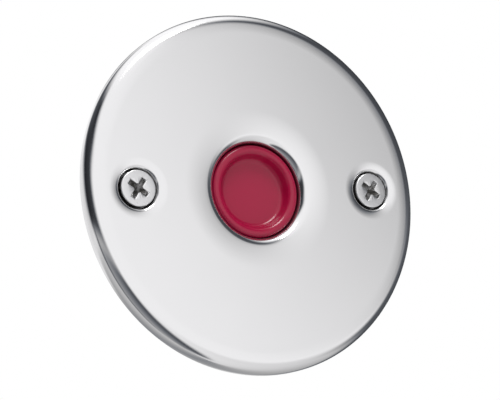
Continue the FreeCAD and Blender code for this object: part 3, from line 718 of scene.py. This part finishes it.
addPiece("barrelShell", barrelMesh(), blackPlastic, "unit", "button_housing", 32)
for i in range(barrel["ribCount"]):
    name = "barrelRib%d" % (i + 1)
    turn = 2 * math.pi * i / barrel["ribCount"]
    addPiece(name, guideRibMesh(name, turn), blackPlastic, "unit", "button_housing", 32)

lockNut = {"across": 38.4, "bore": 16.2, "front": 7.5, "back": 12.5, "turns": 144}


def lockNutMesh():
    n = lockNut
    part = n["across"] / 2 * turnedShare
    rows = [
        (n["bore"], n["front"] + 0.4), (n["bore"] + 0.4, n["front"]), (part - 0.1, n["front"]),
        (part, n["front"] + 0.03), hexEdge(n["across"], n["front"], 1),
        hexEdge(n["across"], n["back"], -1), (part, n["back"] - 0.03), (part - 0.1, n["back"]),
        (n["bore"] + 0.4, n["back"]), (n["bore"], n["back"] - 0.4),
    ]
    return turnedMesh("lockNutHex", rows, evenAngles(n["turns"]))


addPiece("lockNutHex", lockNutMesh(), blackPlastic, "unit", "lock_nut", 25)

base = {
    "across": 30.0, "front": 25.5, "spigot": 14.1, "flange": 31.0, "hexBack": 35.0,
    "boss": 8.0, "back": 40.0, "grooveRadius": 12.32, "grooveFrom": 27.0, "grooveTo": 29.4,
    "port": 4.9, "portFront": 31.5, "airHole": 1.5, "turns": 144,
}


def chamberBaseMesh():
    b = base
    part = b["across"] / 2 * turnedShare
    rows = outlinePoints([
        (b["airHole"], b["portFront"]), (b["airHole"], b["front"]), (b["spigot"], b["front"]),
        (b["spigot"], b["grooveFrom"]), (b["grooveRadius"], b["grooveFrom"]),
        (b["grooveRadius"], b["grooveTo"]), (b["spigot"], b["grooveTo"]),
        (b["spigot"], b["flange"]), (part, b["flange"]),
    ], 0.12, False)
    hexagon = [lambda angle: (hexRadius(angle, b["across"]) - 0.12, b["flange"]),
               lambda angle: (hexRadius(angle, b["across"]), b["flange"] + 0.12),
               hexEdge(b["across"], b["hexBack"], -1)]
    tail = outlinePoints([
        (part, b["hexBack"]), (b["boss"], b["hexBack"], 0.6), (b["boss"], b["back"], 0.5),
        (b["port"], b["back"]), (b["port"], b["portFront"]), (b["airHole"], b["portFront"]),
    ], 0.15, False)
    return turnedMesh("chamberBase", rows + hexagon + tail[:-1], evenAngles(b["turns"]))


addPiece("chamberBase", chamberBaseMesh(), blackPlastic, "unit", "chamber_base", 25)
print("barrel ready")


nipple = {
    "bore": 1.2, "thread": 4.8, "threadRoot": 4.25, "threadFrom": 33.5, "threadDepth": 0.5, "pitch": 1.0,
    "hexFrom": 41.0, "hexTo": 45.0, "across": 14.0, "union": 5.0, "unionRoot": 4.45, "unionTo": 50.0,
    "nose": 2.0, "barb": 2.2, "tip": 56.0, "tipRadius": 1.5, "turns": 72,
}


def hoseNippleMesh():
    n = nipple
    part = n["across"] / 2 * turnedShare
    start, root, unionRoot = n["threadFrom"], n["threadRoot"], n["unionRoot"]
    rows = [(n["bore"], start + 0.15), (n["bore"] + 0.15, start), (root - 0.05, start),
            (root + 0.05, start + 0.05)]
    rows += threadRows(n["thread"], n["threadDepth"], n["pitch"], start + 0.5, n["hexFrom"] - 0.6, 10)
    rows += [(root, n["hexFrom"] - 0.5), (root, n["hexFrom"]), (part - 0.1, n["hexFrom"]),
             hexEdge(n["across"], n["hexFrom"], 1), hexEdge(n["across"], n["hexTo"], -1),
             (part - 0.1, n["hexTo"]), (unionRoot, n["hexTo"]), (unionRoot, n["hexTo"] + 0.4)]
    rows += threadRows(n["union"], n["threadDepth"], n["pitch"], n["hexTo"] + 0.5, n["unionTo"] - 0.4, 10)
    rows += [(unionRoot + 0.05, n["unionTo"] - 0.05), (unionRoot - 0.05, n["unionTo"])]
    rows += outlinePoints([
        (n["nose"] + 0.3, n["unionTo"]), (n["nose"], n["unionTo"], 0.25), (n["nose"], n["tip"] - 1.6, 0.15),
        (n["barb"], n["tip"] - 1.4), (n["tipRadius"], n["tip"]), (n["bore"], n["tip"] - 0.1),
    ], 0.06, False, 15)
    return turnedMesh("hoseNipple", rows, evenAngles(n["turns"]))


addPiece("hoseNipple", hoseNippleMesh(), nickelBrass, "unit", "hose_nipple", 28)

unionNut = {
    "front": 45.5, "back": 58.0, "radius": 7.5, "rounding": 1.2, "bore": 5.1, "boreBack": 51.5,
    "mouth": 3.15, "mouthFront": 54.5, "backFlat": 5.5, "grips": 18, "gripDepth": 0.25,
    "gripHalf": 0.19, "turns": 216,
}


def hoseNutMesh():
    u = unionNut

    def gripped(radius, depth, share=1.0):
        def spot(angle):
            phase = (angle * u["grips"] / (2 * math.pi) + 0.5) % 1 - 0.5
            cut = u["gripDepth"] * math.sqrt(max(0, 1 - (phase / u["gripHalf"]) ** 2)) * share
            return radius - cut, depth
        return spot
    front, back, radius, rounding = u["front"], u["back"], u["radius"], u["rounding"]
    rows = [(u["bore"], front + 0.3), (u["bore"] + 0.3, front), (radius - 0.6, front),
            gripped(radius - 0.35, front, 0.3), gripped(radius - 0.1, front + 0.12),
            gripped(radius, front + 0.4)]
    straight = back - front - 0.4 - rounding
    rows += [gripped(radius, front + 0.4 + straight * i / 4) for i in range(1, 5)]
    for i in range(1, 7):
        angle = math.pi / 2 * i / 6
        rows.append(gripped(radius - rounding + rounding * math.cos(angle),
                            back - rounding + rounding * math.sin(angle), max(0, 1 - i / 4)))
    rows += outlinePoints([
        (u["backFlat"], back), (u["mouth"], back, 0.4), (u["mouth"], u["mouthFront"]),
        (u["bore"], u["boreBack"]), (u["bore"], front + 0.3),
    ], 0.15, False)[:-1]
    return turnedMesh("hoseNut", rows, evenAngles(u["turns"]))


addPiece("hoseNut", hoseNutMesh(), nickelBrass, "unit", "hose_nut", 30)
print("hose end ready")


spring = {
    "radius": 10.9, "wire": 0.5, "front": 9.8, "back": 22.0, "turns": 5.5, "across": 12, "perTurn": 72,
}


def springMesh():
    s = spring
    builder = bmesh.new()
    count = int(s["turns"] * s["perTurn"])
    rise = s["back"] - s["front"] - s["wire"]
    rows = []
    for i in range(count + 1):
        share = i / count
        angle = 2 * math.pi * s["turns"] * share
        place = s["front"] + s["wire"] / 2 + rise * share
        row = []
        for j in range(s["across"]):
            tilt = 2 * math.pi * j / s["across"]
            radius = s["radius"] + s["wire"] * math.cos(tilt)
            depth = place + s["wire"] * math.sin(tilt)
            depth = min(max(depth, s["front"]), s["back"])  # ground flat at both ends
            row.append(builder.verts.new((radius * math.cos(angle) * mm, depth * mm,
                                          radius * math.sin(angle) * mm)))
        rows.append(row)
    for low, high in zip(rows, rows[1:]):
        for j in range(s["across"]):
            k = (j + 1) % s["across"]
            builder.faces.new((low[j], low[k], high[k], high[j]))
    builder.faces.new(rows[0])
    builder.faces.new(list(reversed(rows[-1])))
    return meshFrom(builder, "springCoil")


springCoil = addPiece("springCoil", springMesh(), platedSteel, "unit", "return_spring", 50)
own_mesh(springCoil)

bellows = {
    "front": 9.0, "frontWall": 1.2, "root": 6.4, "crest": 8.6, "wall": 1.4, "rounding": 0.5,
    "pitch": 2.8, "folds": 4, "neckEnd": 24.0, "foot": 12.8, "back": 25.5, "turns": 96,
}


def bellowsMeshes():
    b = bellows
    root, crest, wall, rounding = b["root"], b["crest"], b["wall"], b["rounding"]
    start = b["front"] + b["frontWall"]
    outside = [(0.0, b["front"]), (root, b["front"], rounding), (root, start)]
    inside = [(0.0, start), (root - wall, start)]
    for fold in range(b["folds"]):
        top, low = start + b["pitch"] * (fold + 0.5), start + b["pitch"] * (fold + 1)
        outside += [(crest, top, rounding), (root, low, rounding)]
        inside += [(crest - wall, top, rounding), (root - wall, low, rounding)]
    outside += [(root, b["neckEnd"])]
    inside += [(root - wall, b["neckEnd"])]
    wave = outlinePoints(outside + inside[::-1], 0.1, False, 14)
    foot = outlinePoints([
        (root - wall, b["neckEnd"]), (b["foot"], b["neckEnd"]), (b["foot"], b["back"]),
        (root - wall, b["back"]),
    ])
    angles = evenAngles(b["turns"])
    return turnedMesh("bellowsWave", wave, angles, False), turnedMesh("bellowsFoot", foot, angles)


waveMesh, footMesh = bellowsMeshes()
bellowsWave = addPiece("bellowsWave", waveMesh, blackRubber, "unit", "bellows", 60)
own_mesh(bellowsWave)
addPiece("bellowsFoot", footMesh, blackRubber, "unit", "bellows", 40)
print("spring and bellows ready")


keptFinishes = {
    "screw_retainers": whiteNylon, "carrier_plate": blackPlastic, "wall_gasket": blackRubber,
    "flange_gasket": blackRubber, "lock_washer": platedSteel, "plunger": whiteNylon,
    "plunger_screw": platedSteel, "wiper_seal": blackRubber, "spring_washer": platedSteel,
    "stop_sleeve": whiteNylon, "base_ring": blackRubber, "nipple_seal": blackRubber,
}
for node, finish in keptFinishes.items():
    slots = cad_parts[node].data.materials
    for i in range(len(slots)):
        slots[i] = finish
    if not len(slots):
        slots.append(finish)
print("kept pieces dressed")


studio = {
    "floorHeight": -0.10, "floorRadius": 1.6, "floorTurns": 96, "floorColour": (0.86, 0.86, 0.87, 1),
    "speckColour": (0.8, 0.8, 0.8, 1), "openLevel": 1.05,
    "darkTint": (0.90, 0.96, 1.08, 1), "brightTint": (0.995, 0.99, 0.995, 1),
    "lampPlace": (0.0, -0.70, 1.32), "lampSize": (0.60, 0.46), "lampPower": 10.5,
    "cameraPlace": (-0.18527, -0.34671, -0.07576), "cameraTurn": (100.6897, 5.1616, -27.0594),
    "cameraLens": 111.02,
}

# what stands round the object, by direction: degrees to the right of the front, degrees up, how soft
# the edges are, how much an edge leans for each degree up, and the light at the left and the right end
studioPanels = {
    "ceiling": ((-200, 200), (60, 95), (10, 10), 0, (1.15, 1.20)),
    "floorBehindLeft": ((-200, -60), (-95, -15), (12, 8), 0, (0.28, 0.77)),
    "floorFrontRight": ((-5, 200), (-95, -16), (12, 12), 0, (0.96, 0.31)),
    "paperBehindLeft": ((-200, -107), (-12, 24), (8, 6), 0, (1.0, 0.74)),
    "screenLeftHigh": ((-165, -58), (23, 59), (18, 10), -1.1, (0.12, 0.01)),
    "screenLeft": ((-114, -42), (-10, 36), (16, 8), -0.84, (0.01, 0.06)),
    "stoolLeft": ((-84, -6), (-81, -12), (11, 9), -0.23, (0.44, 0.02)),
    "stoolLegLeft": ((-86, -77), (-64, -8), (4, 8), 0, (0.08, 0.08)),
    "roomRight": ((29, 172), (-2, 56), (15, 14), -0.4, (0.09, 0.04)),
    "roomRightLow": ((62, 150), (-31, 14), (16, 9), 0.15, (0.12, 0.07)),
}


def floorMesh():
    builder = bmesh.new()
    height, count = studio["floorHeight"], studio["floorTurns"]
    rows = [[builder.verts.new((0, 0, height))]]
    for radius in (0.05, 0.1, 0.2, 0.4, 0.8, studio["floorRadius"]):
        rows.append([builder.verts.new((radius * math.cos(a), radius * math.sin(a), height))
                     for a in evenAngles(count)])
    for low, high in zip(rows, rows[1:]):
        for i in range(count):
            j = (i + 1) % count
            corners = list(dict.fromkeys([low[i % len(low)], high[i], high[j], low[j % len(low)]]))
            builder.faces.new(corners)
    mesh = bpy.data.meshes.new("studioFloor")
    builder.to_mesh(mesh)
    builder.free()
    return mesh


def makeFloor():
    material = bpy.data.materials.new("floorPaper")
    material.use_nodes = True
    maker = Maker(material.node_tree)
    where = maker.wire("ShaderNodeTexCoord", output="Object")
    distance = maker.wire("ShaderNodeVectorMath", {"operation": "LENGTH"}, {0: where}, "Value")
    paper = maker.speckle(where, 240, 3)
    diffuse = maker.add("ShaderNodeBsdfPrincipled", None, {
        "Base Color": maker.blend(paper * 0.06, studio["floorColour"], studio["speckColour"]),
        "Roughness": 0.9, "Normal": maker.bump(paper, 0.1, 0.1)})
    white = maker.add("ShaderNodeEmission", None, {"Color": (1, 1, 1, 1), "Strength": 1.0})
    far = maker.ramp(distance, 0.22, 0.9)
    mixed = maker.add("ShaderNodeMixShader", None, {0: far, 1: diffuse.outputs[0], 2: white.outputs[0]})
    maker.add("ShaderNodeOutputMaterial", None, {"Surface": mixed.outputs[0]})
    floor = bpy.data.objects.new("studioFloor", floorMesh())
    bpy.context.scene.collection.objects.link(floor)
    floor.data.materials.append(material)
    floor.visible_glossy = False  # the metal shows the panels instead


def makeWorld():
    world = bpy.data.worlds.new("studioWorld")
    bpy.context.scene.world = world
    world.use_nodes = True
    maker = Maker(world.node_tree)
    way = maker.wire("ShaderNodeTexCoord", output="Generated")
    parts = maker.add("ShaderNodeSeparateXYZ", None, {0: way})
    x, y, z = [Wire(maker, parts.outputs[i]) for i in range(3)]
    turn = x.apply("ARCTAN2", 0 - y) * (180 / math.pi)
    rise = z.apply("ARCSINE") * (180 / math.pi)
    level = studio["openLevel"]
    for (left, right), (low, high), (softTurn, softRise), lean, (atLeft, atRight) in studioPanels.values():
        share = maker.ramp(rise, low - softRise, low + softRise)
        share = share * (1 - maker.ramp(rise, high - softRise, high + softRise))
        side = turn - lean * (rise - (max(low, -80) + min(high, 80)) / 2) if lean else turn
        if left > -180:
            share = share * maker.ramp(side, left - softTurn, left + softTurn)
        if right < 180:
            share = share * (1 - maker.ramp(side, right - softTurn, right + softTurn))
        along = maker.ramp(side, max(left, -180), min(right, 180), False)
        here = atLeft + along * (atRight - atLeft)
        level = level + (here - level) * share
    # the dark parts of the room are a little blue
    tint = maker.blend(maker.ramp(level, 0.05, 0.5), studio["darkTint"], studio["brightTint"])
    light = maker.add("ShaderNodeBackground", None, {"Color": tint, "Strength": level})
    paper = maker.add("ShaderNodeBackground", None, {"Color": (1, 1, 1, 1), "Strength": 1.0})
    seen = maker.wire("ShaderNodeLightPath", output="Is Camera Ray")
    mixed = maker.add("ShaderNodeMixShader", None, {0: seen, 1: light.outputs[0], 2: paper.outputs[0]})
    maker.add("ShaderNodeOutputWorld", None, {"Surface": mixed.outputs[0]})


def makeLamp():
    # a soft box above and before the object, aimed at it
    data = bpy.data.lights.new("softboxAbove", "AREA")
    data.shape = "RECTANGLE"
    data.size, data.size_y = studio["lampSize"]
    data.energy = studio["lampPower"]
    lamp = bpy.data.objects.new("softboxAbove", data)
    lamp.location = studio["lampPlace"]
    lamp.rotation_euler = (-lamp.location).to_track_quat("-Z", "Y").to_euler()
    lamp.visible_camera = False
    bpy.context.scene.collection.objects.link(lamp)


def makeCamera():
    data = bpy.data.cameras.new("photoView")
    data.lens = studio["cameraLens"]
    data.sensor_width = 36
    data.clip_start, data.clip_end = 0.01, 10
    camera = bpy.data.objects.new("photoView", data)
    camera.location = studio["cameraPlace"]
    camera.rotation_euler = [math.radians(a) for a in studio["cameraTurn"]]
    bpy.context.scene.collection.objects.link(camera)
    bpy.context.scene.camera = camera


makeFloor()
makeWorld()
makeLamp()
makeCamera()
bpy.context.scene.view_settings.view_transform = "Standard"
print("studio ready")
